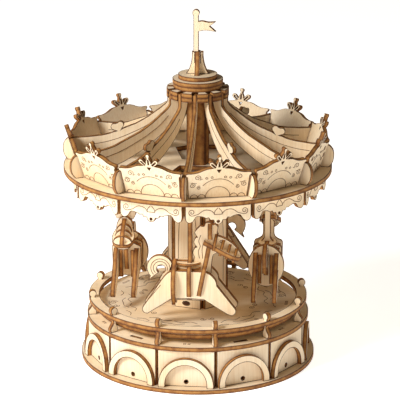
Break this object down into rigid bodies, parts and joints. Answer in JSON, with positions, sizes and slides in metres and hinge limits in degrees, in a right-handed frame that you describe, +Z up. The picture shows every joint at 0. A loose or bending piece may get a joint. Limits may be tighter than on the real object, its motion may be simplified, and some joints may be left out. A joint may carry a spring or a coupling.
{
  "type": "wooden carousel model kit",
  "caption": "Laser-cut plywood carousel: round arcaded base with a fenced deck, and a turning column with hanging horses under a ribbed tent roof, board crown, spire and flag",
  "frame": {"origin": "on the turning axis, at the underside of the base plate", "axes": "+Z up along the turning axis, -Y towards the front, +X to the right; the front horse faces +X"},
  "size_m": [0.1524, 0.1524, 0.2],
  "materials": {
    "plywood": "bare sanded plywood, laser cut, engraved lines, no varnish",
    "plywood_shaded": "bare sanded plywood, laser cut, engraved lines, no varnish",
    "plywood_edge": "laser-browned plywood edges, matt",
    "dowel": "turned wooden dowel, waxed to run freely"
  },
  "bodies": {
    "base": {"base_plate": "plywood", "base_wall": "plywood", "deck": "plywood", "bearing_disc": "plywood_shaded", "pivot_axle": "dowel", "axle_cap": "plywood_shaded", "fence": "plywood"},
    "carousel": {"canopy_plate": "plywood", "cap_disc": "plywood_edge", "collar_disc": "plywood_edge", "column": "plywood", "crown_board_01": "plywood", "crown_board_02": "plywood", "crown_board_03": "plywood", "crown_board_04": "plywood", "crown_board_05": "plywood", "crown_board_06": "plywood", "crown_board_07": "plywood", "crown_board_08": "plywood", "crown_board_09": "plywood", "crown_board_10": "plywood", "crown_board_11": "plywood", "crown_board_12": "plywood", "flag": "plywood", "horse_1_core": "plywood", "horse_1_inner_side": "plywood", "horse_1_outer_side": "plywood", "horse_1_pole": "plywood", "horse_2_core": "plywood", "horse_2_inner_side": "plywood", "horse_2_outer_side": "plywood", "horse_2_pole": "plywood", "horse_3_core": "plywood", "horse_3_inner_side": "plywood", "horse_3_outer_side": "plywood", "horse_3_pole": "plywood", "horse_4_core": "plywood", "horse_4_inner_side": "plywood", "horse_4_outer_side": "plywood", "horse_4_pole": "plywood", "hub_lower": "plywood_edge", "hub_upper": "plywood_edge", "mast": "plywood", "roof_rib_01": "plywood", "roof_rib_02": "plywood", "roof_rib_03": "plywood", "roof_rib_04": "plywood", "roof_rib_05": "plywood", "roof_rib_06": "plywood", "roof_rib_07": "plywood", "roof_rib_08": "plywood", "roof_rib_09": "plywood", "roof_rib_10": "plywood", "roof_rib_11": "plywood", "roof_rib_12": "plywood", "spire_front_fin": "plywood", "spire_side_fin": "plywood", "step_disc": "plywood_edge", "turntable": "plywood_shaded", "valance": "plywood"}
  },
  "joints": [
    {"name": "carousel_spin", "type": "hinge", "parent": "base", "child": "carousel", "pos_m": [0, 0, 0.029], "axis": [0, 0, 1], "continuous": true}
  ]
}
